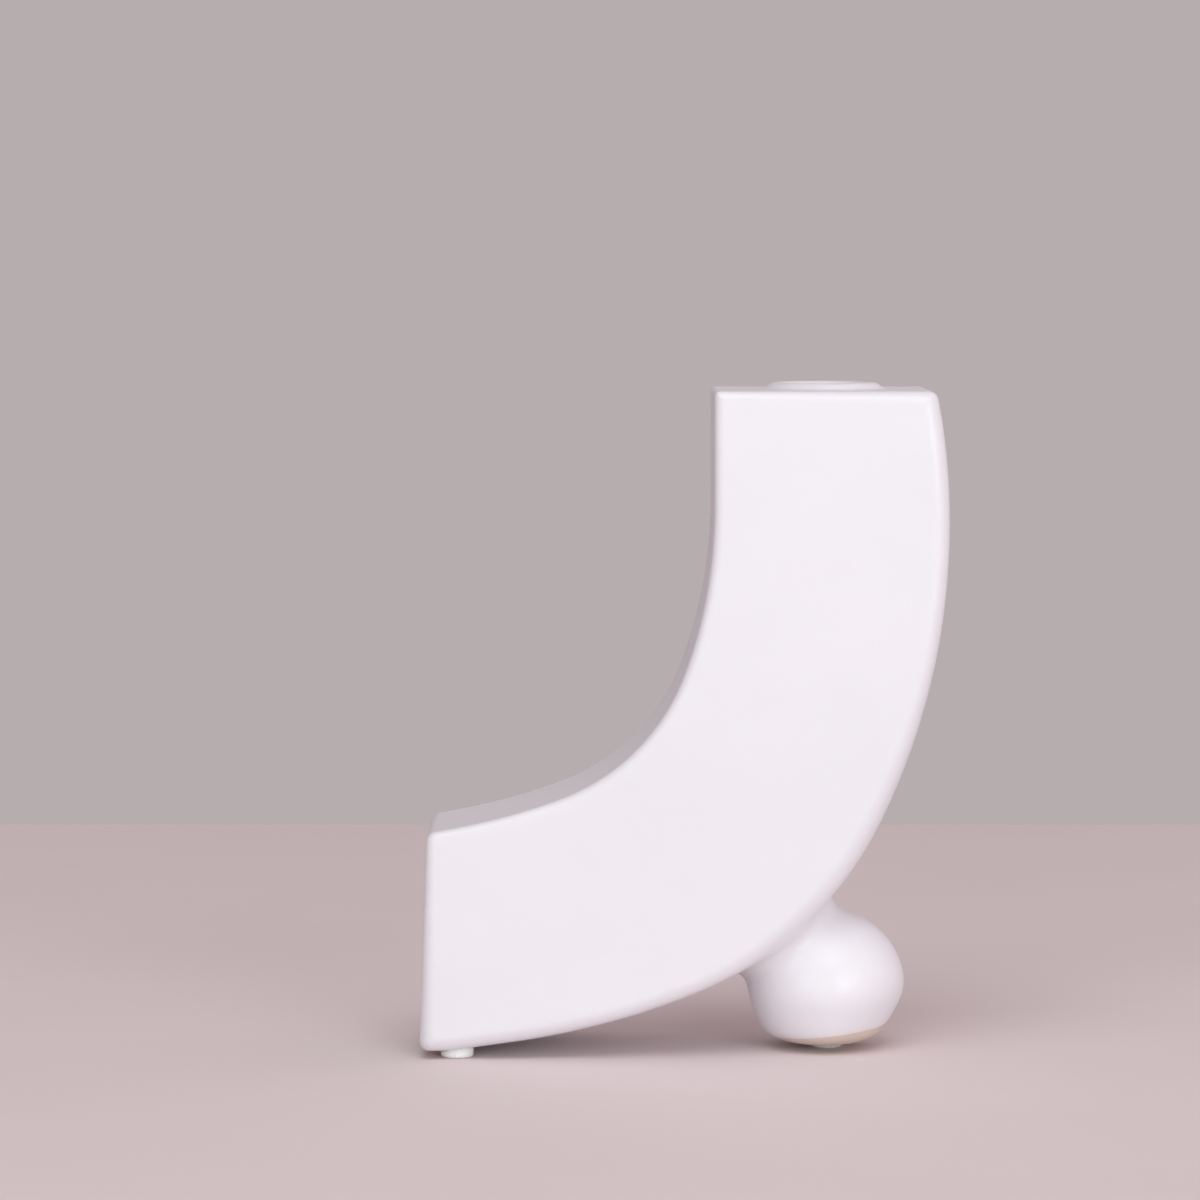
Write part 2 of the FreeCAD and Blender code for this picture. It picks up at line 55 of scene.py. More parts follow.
# They swell near the joint, where the clay was rubbed down most.
EDGE_SWELL = 1.6
SWELL_ANGLE = math.radians(55.0)
SWELL_WIDTH = math.radians(24.0)
END_LEAN = math.radians(2.0)
UPRIGHT_X = 7.2
BASE_FLAT = 4.5
# (length) of a straight, or (radius, turn in degrees) of a tangent arc.
CONVEX_RUN = [(20.0, 7.8), (16.0,), (183.8, 14.65), (83.6, 41.75)]
CONVEX_TOP_RADIUS = 165.0
CONCAVE_RUN = [(28.5,), (114.0, -20.5), (51.0, -49.0), (150.0, -10.0)]
WALL = 4.5
CAVITY_RADIUS = 2.0

# The mouth.
MOUTH_X = 34.4
MOUTH_RADIUS = 10.5
RIM_WIDTH = 2.6
RIM_HEIGHT = 1.35
RIM_ROUND = 1.25
RIM_FILLET = 2.8
LIP_ROUND = 1.2
BORE_BLEND = 1.5

# The ball foot and its joint.
JOINT_ANGLE = math.radians(38.7)
BALL_RADIUS = 18.9
BALL_SINK = 1.5
BALL_WALL = 4.3
BALL_FLOOR = 4.0
JOINT_BLEND = 9.5
SEAM_BLEND = 1.2
HOLLOW_BLEND = 0.1
PASSAGE_RADIUS = 4.0
PASSAGE_ROUND = 0.5
FOOT_EDGE = 3.2
# The ball is drawn in a little from its middle down to its foot.
BALL_TUCK = 0.5
TUCK_REACH = 7.0
# Its right side is pressed in more towards the foot. The press starts left of the middle, by a
# share of the ball's radius.
BALL_PRESS = 1.8
PRESS_TOP = 19.0
PRESS_REACH = 16.0
PRESS_START_SHARE = 0.1

# Hand-made unevenness of the outside: its mean depth and the lengths of its waves.
WAVE = 0.05
WAVE_LENGTHS = (85.0, 64.0, 47.0, 38.0, 30.0, 24.0)
WAVE_SEED = 20

# Bare clay: the glaze ends on a tilted line round the ball and just above the heel's flat.
GLAZE_STEP = 0.12
GLAZE_EDGE = 0.5
FOOT_LINE = 3.0
FOOT_TILT = 0.11
HEEL_LINE = 0.35
HEEL_END = -50.0
# A height below the table, for places where the glaze goes all the way down.
NO_CLAY = -1.0

# The bumper pads.
PAD_RADIUS = 4.0
PAD_ROUND = 0.8
PAD_SEAT = 0.15
PAD_INSET = 9.2
PAD_EDGE = 6.5
PAD_X = HEEL_X + PAD_INSET
PAD_Y = DEPTH / 2 - PAD_EDGE
PAD_TURNS = 64
PAD_BENDS = 8

# Grid lines of the vase's mesh, as (position, step up to the next position). They are closer where
# edges run: at the ends, the corners, the two faces and the mouth.
GRID_X = [(-65.1, 0.5), (-59.5, 1.15), (6.2, 0.45), (9.8, 1.0), (60.0, 0.6), (65.2, 0.6)]
GRID_Y = [(-23.2, 0.45), (-17.6, 1.0), (17.6, 0.45), (23.2, 0.45)]
GRID_Z = [(1.1, 0.35), (6.0, 1.1), (156.0, 0.5), (160.5, 0.3), (164.0, 0.3)]

# How the mesh is moved on to the surface.
SETTLE_ROUNDS = 3
LONGEST_MOVE = 0.4
LEAST_SLOPE_SQUARE = 0.2
SLOPE_STEP = 0.02
BEND_STEP = 0.7

# Limits: a length beyond all others, slack at the ends of lines and of arcs (in radians), and sizes
# that keep a division from failing.
FAR = 1e9
LINE_SLACK = 1e-3
ARC_SLACK = 1e-5
LEAST_WIDTH = 1e-6
LEAST_LENGTH = 1e-9
HALVINGS = 30
# How near to a cut a vertex is taken to lie on it, in metres.
ON_CUT = 1e-7

# The noise textures stay mostly between these values.
NOISE_SPAN = (0.3, 0.7)

# The stage, in metres: half the table's width, and its far edge as seen from the camera.
TABLE_HALF = 3.0
TABLE_END = 0.467
# The camera stands where the photographer's did.
CAMERA_PLACE = (-0.020166, -1.219402, 0.197800)
CAMERA_TILT = math.radians(85.882)
LIGHT_TARGET = (0, 0, 0.08)
# Name, azimuth and elevation in degrees, distance, width, watts and colour. Azimuth is counted from
# the camera's side to the right.
LIGHTS = [
    ("window", 27, 4, 2.4, 1.3, 26, (0.88, 0.99, 0.995)),
    ("room", -25, 6, 2.2, 1.5, 13, (0.87, 0.99, 0.995)),
    ("ceiling", -5, 60, 2.2, 1.5, 17.5, (0.92, 0.98, 0.985)),
]
# Brightness of the surroundings at the far left and the far right.
ROOM_LEFT = 0.23
ROOM_RIGHT = 0.66
ROOM_COLOUR = (1, 0.85, 0.88, 1)
WALL_COLOUR = (0.468, 0.418, 0.423, 1)


class Outline:
    """A closed run of lines and tangent arcs in the XZ plane, with the inside on its left."""

    def __init__(self, x, z, heading):
        self.x = x
        self.z = z
        self.heading = heading
        self.pieces = []
        self.centres = []

    def line(self, length):
        """Adds a straight of this length."""
        c, s = math.cos(self.heading), math.sin(self.heading)
        self.pieces.append(("line", self.x, self.z, c, s, length))
        self.x += length * c
        self.z += length * s

    def arc(self, radius, turn):
        """Adds a tangent arc that turns by this angle, to the left where it is positive."""
        side = math.copysign(1.0, turn)
        cx = self.x - side * radius * math.sin(self.heading)
        cz = self.z + side * radius * math.cos(self.heading)
        middle = self.heading - side * math.pi / 2 + turn / 2
        self.pieces.append(("arc", cx, cz, radius, middle, abs(turn) / 2, side))
        self.centres.append((cx, cz, radius))
        self.heading += turn
        self.x = cx + side * radius * math.sin(self.heading)
        self.z = cz - side * radius * math.cos(self.heading)

    def run(self, parts):
        """Adds straights and arcs, one for each (length,) and each (radius, turn in degrees)."""
        for part in parts:
            if len(part) == 1:
                self.line(part[0])
            else:
                self.arc(part[0], math.radians(part[1]))

    def distance(self, x, z):
        """Signed distance to the outline, negative inside."""
        best = np.full(np.broadcast(x, z).shape, FAR)
        signed = best.copy()
        for piece in self.pieces:
            if piece[0] == "line":
                _, sx, sz, c, s, length = piece
                along = (x - sx) * c + (z - sz) * s
                off = (x - sx) * s - (z - sz) * c
                valid = (along > -LINE_SLACK) & (along < length + LINE_SLACK)
            else:
                _, cx, cz, radius, middle, half, side = piece
                dx, dz = x - cx, z - cz
                swing = (np.arctan2(dz, dx) - middle + math.pi) % (2 * math.pi) - math.pi
                off = side * (np.hypot(dx, dz) - radius)
                valid = np.abs(swing) < half + ARC_SLACK
            size = np.where(valid, np.abs(off), FAR)
            nearer = size < best
            best = np.where(nearer, size, best)
            signed = np.where(nearer, off, signed)
        return signed


def away(pieces, x, z):
    """Distance to an open run of lines and arcs."""
    best = np.full(np.broadcast(x, z).shape, FAR)
    for piece in pieces:
        if piece[0] == "line":
            _, sx, sz, c, s, length = piece
            along = np.clip((x - sx) * c + (z - sz) * s, 0, length)
            gap = np.hypot(x - sx - along * c, z - sz - along * s)
        else:
            _, cx, cz, radius, middle, half, _ = piece
            swing = (np.arctan2(z - cz, x - cx) - middle + math.pi) % (2 * math.pi) - math.pi
            angle = middle + np.clip(swing, -half, half)
            gap = np.hypot(x - cx - radius * np.cos(angle), z - cz - radius * np.sin(angle))
        best = np.minimum(best, gap)
    return best


def band_outline():
    """The whole outline, its convex and its concave side, and the convex bend."""
    inset = CORNER_RADIUS / math.tan((math.pi / 2 - END_LEAN) / 2)
    run = Outline(HEEL_X + inset, BASE_Z, 0.0)
    run.line(BASE_FLAT - inset)
    run.run(CONVEX_RUN)
    bend = run.centres[-1]
    radius = CONVEX_TOP_RADIUS
    centre_z = run.z + radius * math.cos(run.heading)
    rise = (TOP_Z - CORNER_RADIUS - centre_z) / (radius - CORNER_RADIUS)
    run.arc(radius, math.asin(rise) + math.pi / 2 - run.heading)
    convex = list(run.pieces)
    run.arc(CORNER_RADIUS, math.pi - run.heading)
    run.line(run.x - UPRIGHT_X - INNER_CORNER)
    run.arc(INNER_CORNER, math.pi / 2)
    first = len(run.pieces)
    run.line(CONCAVE_RUN[0][0] - INNER_CORNER)
    run.run(CONCAVE_RUN[1:])
    end_heading = 3 * math.pi / 2 - END_LEAN
    along = math.sin(end_heading) * (run.x - HEEL_X) - math.cos(end_heading) * (run.z - BASE_Z)
    straight = abs(along / math.sin(end_heading - run.heading))
    meet_z = run.z + straight * math.sin(run.heading)
    turn = end_heading - run.heading
    cut = CORNER_RADIUS * math.tan(turn / 2)
    run.line(straight - cut)
    concave = run.pieces[first:]
    run.arc(CORNER_RADIUS, turn)
    run.line((meet_z - BASE_Z) / math.cos(END_LEAN) - cut - inset)
    run.arc(CORNER_RADIUS, math.pi / 2 + END_LEAN)
    return run, convex, concave, bend


BAND, CONVEX, CONCAVE, (BEND_X, BEND_Z, BEND_RADIUS) = band_outline()
REACH = BEND_RADIUS + BALL_RADIUS - BALL_SINK
AXIS_X = math.sin(JOINT_ANGLE)
AXIS_Z = -math.cos(JOINT_ANGLE)
BALL_X = BEND_X + REACH * AXIS_X
BALL_Z = BEND_Z + REACH * AXIS_Z



def make_waves():
    """A direction and a phase for each wave of the unevenness."""
    rng = np.random.default_rng(WAVE_SEED)
    waves = []
    for length in WAVE_LENGTHS:
        way = rng.normal(size=3)
        way /= np.linalg.norm(way)
        waves.append((way * 2 * math.pi / length, rng.uniform(0, 2 * math.pi)))
    return waves


WAVES = make_waves()


def unevenness(x, y, z):
    """Slow waves over the whole vase, between -1 and 1."""
    total = 0.0
    for way, phase in WAVES:
        total = total + np.sin(way[0] * x + way[1] * y + way[2] * z + phase)
    return total / len(WAVES)


def rounded(first, second, radius):
    """Overlap of two regions with a convex edge of this radius between them."""
    a, b = first + radius, second + radius
    return np.hypot(np.maximum(a, 0), np.maximum(b, 0)) + np.minimum(np.maximum(a, b), 0) - radius


def blended(first, second, radius):
    """Union of two regions with a concave fillet of this radius between them."""
    a, b = np.maximum(radius - first, 0), np.maximum(radius - second, 0)
    return np.maximum(radius, np.minimum(first, second)) - np.hypot(a, b)


def ease(share):
    """0 up to 0, 1 from 1 on, smooth between them."""
    share = np.clip(share, 0, 1)
    return share * share * (3 - 2 * share)


def glaze_line(x):
    """Height at which the glaze ends."""
    foot = BASE_Z + FOOT_LINE + FOOT_TILT * (x - BALL_X)
    foot = np.where(x > BALL_X - BALL_RADIUS, foot, NO_CLAY)
    return np.where(x < HEEL_END, BASE_Z + HEEL_LINE, foot)


def edge_radius(x, z):
    """Radius of the long edges: it changes evenly across the band and along its bend."""
    outer = away(CONVEX, x, z)
    inner = away(CONCAVE, x, z)
    angle = np.arctan2(x - BEND_X, BEND_Z - z)
    widest = OUTER_EDGE + EDGE_SWELL * np.exp(-(((angle - SWELL_ANGLE) / SWELL_WIDTH) ** 2))
    return INNER_EDGE + (widest - INNER_EDGE) * inner / np.maximum(inner + outer, LEAST_WIDTH)


def solid(x, y, z, plan=None):
    """Signed distance to the whole vase, hollow inside, negative in the clay.

    plan holds what depends on x and z alone, where it is worked out beforehand.
    """
    flat, edge = plan or (BAND.distance(x, z), edge_radius(x, z))
    thick = np.abs(y) - DEPTH / 2
    ball = np.sqrt((x - BALL_X) ** 2 + y**2 + (z - BALL_Z) ** 2) - BALL_RADIUS
    tuck = BALL_TUCK * ease((BALL_Z - z) / TUCK_REACH)
    press = BALL_PRESS * ease((PRESS_TOP - z) / PRESS_REACH)
    press = press * ease((x - BALL_X) / BALL_RADIUS + PRESS_START_SHARE)
    ball = rounded(ball + tuck + press, BASE_Z - z, FOOT_EDGE)
    # The band's lower face runs out into the ball, between the band's own rounded edges.
    band = rounded(blended(flat, ball, JOINT_BLEND), thick, edge)
    mouth = np.hypot(x - MOUTH_X, y)
    rim = rounded(mouth - MOUTH_RADIUS - RIM_WIDTH, np.abs(z - TOP_Z) - RIM_HEIGHT, RIM_ROUND)
    body = blended(band, rim, RIM_FILLET)
    outside = blended(body, ball, SEAM_BLEND)
    bare = np.clip((glaze_line(x) - z) / GLAZE_EDGE + 0.5, 0, 1)
    outside = outside + WAVE * (1 + unevenness(x, y, z)) + GLAZE_STEP * bare
    hollow = rounded(flat + WALL, thick + WALL, CAVITY_RADIUS)
    inner = np.sqrt((x - BALL_X) ** 2 + y**2 + (z - BALL_Z) ** 2) - BALL_RADIUS + BALL_WALL
    inner = rounded(inner, BASE_Z + BALL_FLOOR - z, CAVITY_RADIUS)
    dx, dz = x - BEND_X, z - BEND_Z
    height = dx * AXIS_X + dz * AXIS_Z
    passage = np.hypot(dx * AXIS_Z - dz * AXIS_X, y) - PASSAGE_RADIUS
    passage = rounded(passage, np.abs(height - BEND_RADIUS) - BALL_RADIUS / 2, PASSAGE_ROUND)
    hollow = np.minimum(blended(hollow, inner, HOLLOW_BLEND), passage)
    bore = np.maximum(mouth - MOUTH_RADIUS, TOP_Z - 2 * WALL - z)
    hollow = blended(hollow, bore, BORE_BLEND)
    return rounded(outside, -hollow, LIP_ROUND)


def steps(stops):
    """Grid lines from (position, step to the next position) pairs."""
    lines = []
    for (start, gap), (end, _) in zip(stops, stops[1:]):
        count = max(1, round((end - start) / gap))
        lines.extend(np.linspace(start, end, count, endpoint=False))
    lines.append(stops[-1][0])
    return np.array(lines)


def surface_net(field, axes):
    """One vertex in each cell that the zero level crosses, one quad for each crossed grid edge."""
    inside = field < 0
    shape = tuple(n - 1 for n in field.shape)
    total = np.zeros(shape + (3,))
    count = np.zeros(shape)
    crossings = []
    for axis in range(3):
        low = [slice(None)] * 3
        high = [slice(None)] * 3
        low[axis], high[axis] = slice(None, -1), slice(1, None)
        low, high = tuple(low), tuple(high)
        crossed = inside[low] != inside[high]
        i, j, k = np.nonzero(crossed)
        a = field[low][i, j, k]
        b = field[high][i, j, k]
        share = a / (a - b)
        index = [i, j, k]
        point = np.stack([axes[n][index[n]] for n in range(3)], axis=1)
        line = axes[axis]
        point[:, axis] += share * (line[index[axis] + 1] - line[index[axis]])
        others = [n for n in range(3) if n != axis]
        keep = np.ones(len(i), bool)
        for n in others:
            keep &= (index[n] > 0) & (index[n] < shape[n])
        index = [v[keep] for v in index]
        point, forward = point[keep], inside[low][i, j, k][keep]
        cells = []
        for first, second in ((0, 0), (1, 0), (1, 1), (0, 1)):
            cell = list(index)
            cell[others[0]] = cell[others[0]] - first
            cell[others[1]] = cell[others[1]] - second
            cells.append(np.ravel_multi_index(cell, shape))
            for n in range(3):
                np.add.at(total.reshape(-1, 3)[:, n], cells[-1], point[:, n])
            np.add.at(count.reshape(-1), cells[-1], 1)
        flip = ~forward if axis != 1 else forward
        crossings.append((np.stack(cells, axis=1), flip))
    used = np.flatnonzero(count.reshape(-1))
    number = np.full(count.size, -1)
    number[used] = np.arange(len(used))
    points = total.reshape(-1, 3)[used] / count.reshape(-1)[used][:, None]
    quads = []
    for cells, flip in crossings:
        quad = number[cells]
        quad[flip] = quad[flip][:, ::-1]
        quads.append(quad)
    return points, np.concatenate(quads)


def slope(points):
    """Gradient of the solid's distance field."""
    result = np.zeros_like(points)
    for n in range(3):
        move = np.zeros(3)
        move[n] = SLOPE_STEP
        high, low = points + move, points - move
        result[:, n] = (solid(*high.T) - solid(*low.T)) / (2 * SLOPE_STEP)
    return result


def settle(points):
    """Moves points on to the surface."""
    for _ in range(SETTLE_ROUNDS):
        way = slope(points)
        size = np.maximum((way**2).sum(axis=1), LEAST_SLOPE_SQUARE)
        move = (solid(*points.T) / size)[:, None] * way
        length = np.linalg.norm(move, axis=1)[:, None]
        points = points - move * np.minimum(1.0, LONGEST_MOVE / np.maximum(length, LEAST_LENGTH))
    return points


def bend_of(points):
    """How sharply the outside turns: positive on edges, negative in hollows."""
    centre = solid(*points.T)
    total = -6 * centre
    for n in range(3):
        move = np.zeros(3)
        move[n] = BEND_STEP
        total = total + solid(*(points + move).T) + solid(*(points - move).T)
    return total / BEND_STEP**2


def make_vase():
    """Points and quads of the whole vase, glaze and clay in one skin."""
    axes = [steps(GRID_X), steps(GRID_Y), steps(GRID_Z)]
    x, y, z = axes[0][:, None, None], axes[1][None, :, None], axes[2][None, None, :]
    plan = BAND.distance(x + 0 * z, z + 0 * x), edge_radius(x + 0 * z, z + 0 * x)
    field = solid(x + 0 * y + 0 * z, y + 0 * x + 0 * z, z + 0 * x + 0 * y, plan)
    points, quads = surface_net(field, axes)
    points = settle(points)
    return points, quads


def scene_object(name, data):
    """A new object of the scene with this mesh, light or camera."""
    item = bpy.data.objects.new(name, data)
    bpy.context.collection.objects.link(item)
    return item


def whole_mesh(points, quads):
    """A mesh in metres of points in millimetres."""
    mesh = bpy.data.meshes.new("whole")
    mesh.vertices.add(len(points))
    mesh.vertices.foreach_set("co", (points * MM).astype(np.float32).ravel())
    mesh.loops.add(quads.size)
    mesh.loops.foreach_set("vertex_index", quads.ravel().astype(np.int32))
    mesh.polygons.add(len(quads))
    mesh.polygons.foreach_set("loop_start", np.arange(0, quads.size, 4, dtype=np.int32))
    mesh.update(calc_edges=True)
    mesh.validate()
    return mesh


def is_bare(face):
    """Whether a face lies below the end of the glaze."""
    centre = face.calc_center_median() / MM
    return centre.z < glaze_line(centre.x)


def part_of(whole, name, bare):
    """The bare or the glazed faces of a mesh, with smooth normals taken from the solid.

    The mesh is cut along the end of the glaze first.
    """
    bm = bmesh.new()
    bm.from_mesh(whole)
    bm.faces.ensure_lookup_table()
    top = (BASE_Z + 2 * FOOT_LINE) * MM
    for low, high, tilt, x, line in (
        (HEEL_X, HEEL_END, 0.0, HEEL_END, HEEL_LINE),
        (BALL_X - BALL_RADIUS, BALL_X + BALL_RADIUS, FOOT_TILT, BALL_X, FOOT_LINE),
    ):
        near = []
        for face in bm.faces:
            centre = face.calc_center_median()
            if centre.z < top and low * MM < centre.x < high * MM:
                near.append(face)
        edges = {edge for face in near for edge in face.edges}
        verts = {vert for face in near for vert in face.verts}
        bmesh.ops.bisect_plane(
            bm,
            geom=near + list(edges) + list(verts),
            dist=ON_CUT,
            plane_co=(x * MM, 0, (BASE_Z + line) * MM),
            plane_no=(-tilt, 0, 1),
        )
    drop = [face for face in bm.faces if is_bare(face) != bare]
    bmesh.ops.delete(bm, geom=drop, context="FACES")
    mesh = bpy.data.meshes.new(name)
    bm.to_mesh(mesh)
    bm.free()
    mesh.shade_smooth()
    points = np.empty(3 * len(mesh.vertices), np.float32)
    mesh.vertices.foreach_get("co", points)
    points = points.reshape(-1, 3).astype(float) / MM
    normals = slope(points)
    normals /= np.linalg.norm(normals, axis=1)[:, None]
    mesh.normals_split_custom_set_from_vertices(normals.tolist())
    bend = mesh.attributes.new("bend", "FLOAT", "POINT")
    bend.data.foreach_set("value", bend_of(points).astype(np.float32))
    return mesh


def underside(x):
    """Height of the band's lower face over a place of the table near the heel."""
    low, high = 0.0, DEPTH / 2
    for _ in range(HALVINGS):
        middle = (low + high) / 2
        if BAND.distance(np.array([x]), np.array([middle]))[0] > 0:
            low = middle
        else:
            high = middle
    return high


def pad_mesh(x, sloped):
    """A round bumper about its own axis, rounded below, its top pressed to what stands on it."""
    # (radius, height), where None stands for the height of what presses on the pad.
    profile = [(0.0, 0.0), (0.5 * (PAD_RADIUS - PAD_ROUND), 0.0)]
    for i in range(PAD_BENDS + 1):
        angle = math.pi / 2 * i / PAD_BENDS
        radius = PAD_RADIUS - PAD_ROUND * (1 - math.sin(angle))
        profile.append((radius, PAD_ROUND * (1 - math.cos(angle))))
    profile += [(PAD_RADIUS, None), (PAD_RADIUS / 2, None), (0.0, None)]
    bm = bmesh.new()
    rings = []
    for radius, height in profile:
        ring = []
        for k in range(PAD_TURNS if radius > 0 else 1):
            angle = 2 * math.pi * k / PAD_TURNS
            along, across, up = radius * math.cos(angle), radius * math.sin(angle), height
            if up is None:
                up = PAD_SEAT + (underside(x + along) if sloped else BASE_Z)
            ring.append(bm.verts.new(Vector((along, across, up)) * MM))
        rings.append(ring)
    for lower, upper in zip(rings, rings[1:]):
        for k in range(PAD_TURNS):
            corners = [lower[k % len(lower)], lower[(k + 1) % len(lower)]]
            corners += [upper[(k + 1) % len(upper)], upper[k % len(upper)]]
            bm.faces.new(list(dict.fromkeys(corners)))
    mesh = bpy.data.meshes.new("pad")
    bm.to_mesh(mesh)
    bm.free()
    mesh.shade_smooth()
    return mesh


class Shader:
    """A Principled material with short calls for its nodes."""

    def __init__(self, name):
        self.material = bpy.data.materials.new(name)
        self.material.use_nodes = True
        self.tree = self.material.node_tree
        self.surface = self.tree.nodes["Principled BSDF"]
        self.place = self.tree.nodes.new("ShaderNodeTexCoord").outputs["Object"]

    def node(self, kind, links=(), **values):
        """A new node with these settings. links holds (input, value or another node's output)."""
        node = self.tree.nodes.new(kind)
        for name, value in values.items():
            setattr(node, name, value)
        for socket, source in links:
            self.feed(node.inputs[socket], source)
        return node

    def feed(self, socket, source):
        """Puts a value or another node's output on an input."""
        if isinstance(source, bpy.types.NodeSocket):
            self.tree.links.new(source, socket)
        else:
            socket.default_value = source

    def noise(self, scale, detail=2.0, roughness=0.5):
        """Even noise about 0.5. scale is in features per metre."""
        links = [("Vector", self.place), ("Scale", scale)]
        links += [("Detail", detail), ("Roughness", roughness)]
        return self.node("ShaderNodeTexNoise", links).outputs["Fac"]

    def spread(self, low, high, scale, detail=2.0, roughness=0.5):
        """Noise that fills the range from low to high."""
        return self.span(self.noise(scale, detail, roughness), *NOISE_SPAN, low, high)

    def span(self, source, low, high, to_low, to_high):
        """A value mapped from one range to another, and held at its ends."""
        links = [("Value", source), (1, low), (2, high), (3, to_low), (4, to_high)]
        return self.node("ShaderNodeMapRange", links).outputs["Result"]

    def pair(self, operation, first, second):
        """The sum or another operation of two values."""
        links = [(0, first), (1, second)]
        return self.node("ShaderNodeMath", links, operation=operation).outputs[0]

    def mix(self, share, first, second):
        """The first colour at share 0, the second at share 1."""
        node = self.node("ShaderNodeMix", data_type="RGBA")
        self.feed(node.inputs[0], share)
        self.feed(node.inputs[6], first)
        self.feed(node.inputs[7], second)
        return node.outputs[2]

    def bump(self, height, distance):
        """Raises the surface by height times distance, in metres."""
        links = [("Height", height), ("Distance", distance), ("Strength", 1.0)]
        node = self.node("ShaderNodeBump", links)
        self.feed(self.surface.inputs["Normal"], node.outputs["Normal"])

    def specks(self, scale, share, size):
        """1 in small round specks that a few cells of a cell pattern carry, else 0."""
        cells = self.node("ShaderNodeTexVoronoi", [("Vector", self.place), ("Scale", scale)])
        picked = self.span(cells.outputs["Color"], share, share * 0.8, 0.0, 1.0)
        near = self.span(cells.outputs["Distance"], size, size * 0.6, 0.0, 1.0)
        return self.pair("MULTIPLY", picked, near)


def glaze_material():
    """Glossy off-white glaze, a little thinner on the edges, with faint specks of iron."""
    dim, bright = (0.815, 0.785, 0.83, 1), (0.845, 0.815, 0.858, 1)
    edge = (0.70, 0.63, 0.60, 1)
    large_speck, small_speck = (0.70, 0.64, 0.61, 1), (0.70, 0.64, 0.63, 1)
    shader = Shader("glaze")
    colour = shader.mix(shader.spread(0.0, 1.0, 22.0, 3.0), dim, bright)
    bend = shader.node("ShaderNodeAttribute", attribute_name="bend").outputs["Fac"]
    thin = shader.span(bend, 0.12, 0.9, 0.0, 0.22)
    colour = shader.mix(thin, colour, edge)
    colour = shader.mix(shader.specks(420.0, 0.05, 0.12), colour, large_speck)
    colour = shader.mix(shader.specks(1500.0, 0.09, 0.22), colour, small_speck)
    shader.feed(shader.surface.inputs["Base Color"], colour)
    rough = shader.spread(0.30, 0.38, 60.0, 4.0)
    rough = shader.pair("ADD", rough, shader.spread(0.0, 0.05, 900.0))
    shader.feed(shader.surface.inputs["Roughness"], rough)
    shader.surface.inputs["IOR"].default_value = 1.5
    fine = shader.span(shader.noise(450.0), 0.0, 1.0, 0.0, 0.12)
    shader.bump(shader.pair("ADD", shader.noise(70.0), fine), 0.00012)
    return shader.material


def clay_material():
    """Unglazed stoneware, tan, rough and grainy."""
    dark, light, grain = (0.72, 0.60, 0.52, 1), (0.80, 0.69, 0.61, 1), (0.56, 0.43, 0.36, 1)
    shader = Shader("bare_clay")
    colour = shader.mix(shader.spread(0.0, 1.0, 90.0, 4.0, 0.6), dark, light)
    grains = shader.span(shader.noise(2600.0, 3.0, 0.7), 0.35, 0.65, 0.0, 0.35)
    colour = shader.mix(grains, colour, grain)
    shader.feed(shader.surface.inputs["Base Color"], colour)
    shader.feed(shader.surface.inputs["Roughness"], shader.spread(0.78, 0.92, 500.0))
    shader.bump(shader.noise(2200.0, 4.0, 0.7), 0.00012)
    return shader.material


def pad_material():
    """Clear soft plastic, milky through its thickness."""
    milky, clear = (0.93, 0.925, 0.92, 1), (0.97, 0.965, 0.96, 1)
    shader = Shader("pad")
    colour = shader.mix(shader.spread(0.0, 1.0, 350.0, 3.0), milky, clear)
    shader.feed(shader.surface.inputs["Base Color"], colour)
    shader.feed(shader.surface.inputs["Roughness"], shader.spread(0.18, 0.30, 800.0))
    shader.surface.inputs["Transmission Weight"].default_value = 0.12
    shader.surface.inputs["IOR"].default_value = 1.41
    shader.bump(shader.noise(600.0), 0.00003)
    return shader.material


whole = whole_mesh(*make_vase())
vase = scene_object("vase_body", part_of(whole, "vase_body", False))
vase.data.materials.append(glaze_material())
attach(vase, "root")
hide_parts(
    "front_slab", "rear_slab", "inner_wall", "outer_wall", "end_wall", "top_plate", "mouth_rim",
    "ball_foot", "joint_coil",
)

clay = scene_object("bare_clay", part_of(whole, "bare_clay", True))
clay.data.materials.append(clay_material())
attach(clay, "root")
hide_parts("foot_disc")
bpy.data.meshes.remove(whole)

clear_plastic = pad_material()
for node, x, y, sloped in (
    ("front_pad", PAD_X, -PAD_Y, True),
    ("rear_pad", PAD_X, PAD_Y, True),
    ("ball_pad", BALL_X, 0.0, False),
):
    pad = scene_object("bumper_" + node, pad_mesh(x, sloped))
    pad.location = (x * MM, y * MM, 0)
    pad.data.materials.append(clear_plastic)
    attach(pad, "root")
    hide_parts(node)


def floor_plane():
    """The table top, plain and pale."""
    dim, bright = (0.77, 0.67, 0.67, 1), (0.79, 0.69, 0.69, 1)
    mesh = bpy.data.meshes.new("floor")
    places = [(-TABLE_HALF, -TABLE_HALF), (TABLE_HALF, -TABLE_HALF)]
    places += [(TABLE_HALF, TABLE_END), (-TABLE_HALF, TABLE_END)]
    mesh.from_pydata([(x, y, 0) for x, y in places], [], [(0, 1, 2, 3)])
    shader = Shader("floor")
    colour = shader.mix(shader.spread(0.0, 1.0, 8.0, 3.0), dim, bright)
    shader.feed(shader.surface.inputs["Base Color"], colour)
    shader.surface.inputs["Roughness"].default_value = 0.9
    mesh.materials.append(shader.material)
    return scene_object("floor", mesh)


floor_plane()

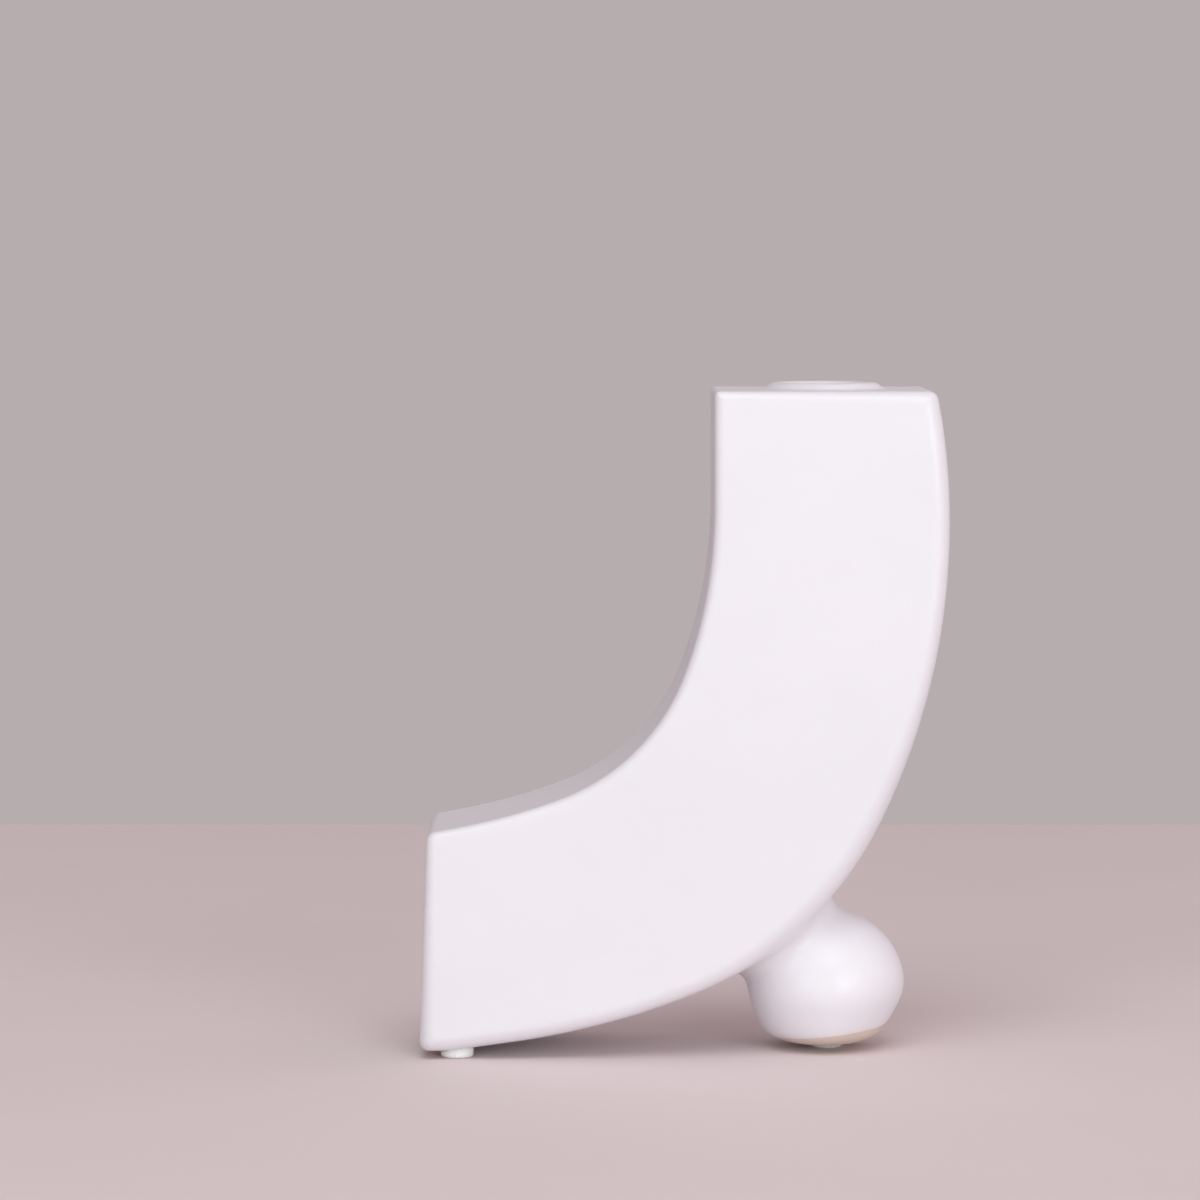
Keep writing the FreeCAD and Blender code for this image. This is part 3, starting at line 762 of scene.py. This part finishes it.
camera_data = bpy.data.cameras.new("camera")
camera_data.sensor_width = 24.0
camera_data.lens = 100.0
camera_data.clip_start = 0.05
camera = scene_object("camera", camera_data)
camera.location = CAMERA_PLACE
camera.rotation_euler = (CAMERA_TILT, 0, 0)
bpy.context.scene.camera = camera
bpy.context.scene.view_settings.view_transform = "Standard"


def soft_light(name, azimuth, elevation, distance, width, watts, colour):
    """A square light that faces the vase."""
    data = bpy.data.lights.new(name, "AREA")
    data.size = width
    data.energy = watts
    data.color = colour
    item = scene_object(name, data)
    turn, rise = math.radians(azimuth), math.radians(elevation)
    level = math.cos(rise)
    way = Vector((math.sin(turn) * level, -math.cos(turn) * level, math.sin(rise)))
    item.location = Vector(LIGHT_TARGET) + distance * way
    item.rotation_euler = way.to_track_quat("Z", "Y").to_euler()


for light in LIGHTS:
    soft_light(*light)


def surroundings():
    """Even pale light all round, and the wall's colour where the camera looks past the table."""
    world = bpy.data.worlds.new("world")
    bpy.context.scene.world = world
    world.use_nodes = True
    nodes, links = world.node_tree.nodes, world.node_tree.links
    nodes.clear()
    out = nodes.new("ShaderNodeOutputWorld")
    mix = nodes.new("ShaderNodeMixShader")
    path = nodes.new("ShaderNodeLightPath")
    light = nodes.new("ShaderNodeBackground")
    seen = nodes.new("ShaderNodeBackground")
    light.inputs["Color"].default_value = ROOM_COLOUR
    # The room is darker to the left.
    way = nodes.new("ShaderNodeTexCoord")
    split = nodes.new("ShaderNodeSeparateXYZ")
    level = nodes.new("ShaderNodeMapRange")
    for socket, value in ((1, -1.0), (2, 1.0), (3, ROOM_LEFT), (4, ROOM_RIGHT)):
        level.inputs[socket].default_value = value
    links.new(way.outputs["Generated"], split.inputs[0])
    links.new(split.outputs["X"], level.inputs["Value"])
    links.new(level.outputs["Result"], light.inputs["Strength"])
    seen.inputs["Color"].default_value = WALL_COLOUR
    links.new(path.outputs["Is Camera Ray"], mix.inputs["Fac"])
    links.new(light.outputs[0], mix.inputs[1])
    links.new(seen.outputs[0], mix.inputs[2])
    links.new(mix.outputs[0], out.inputs["Surface"])


surroundings()
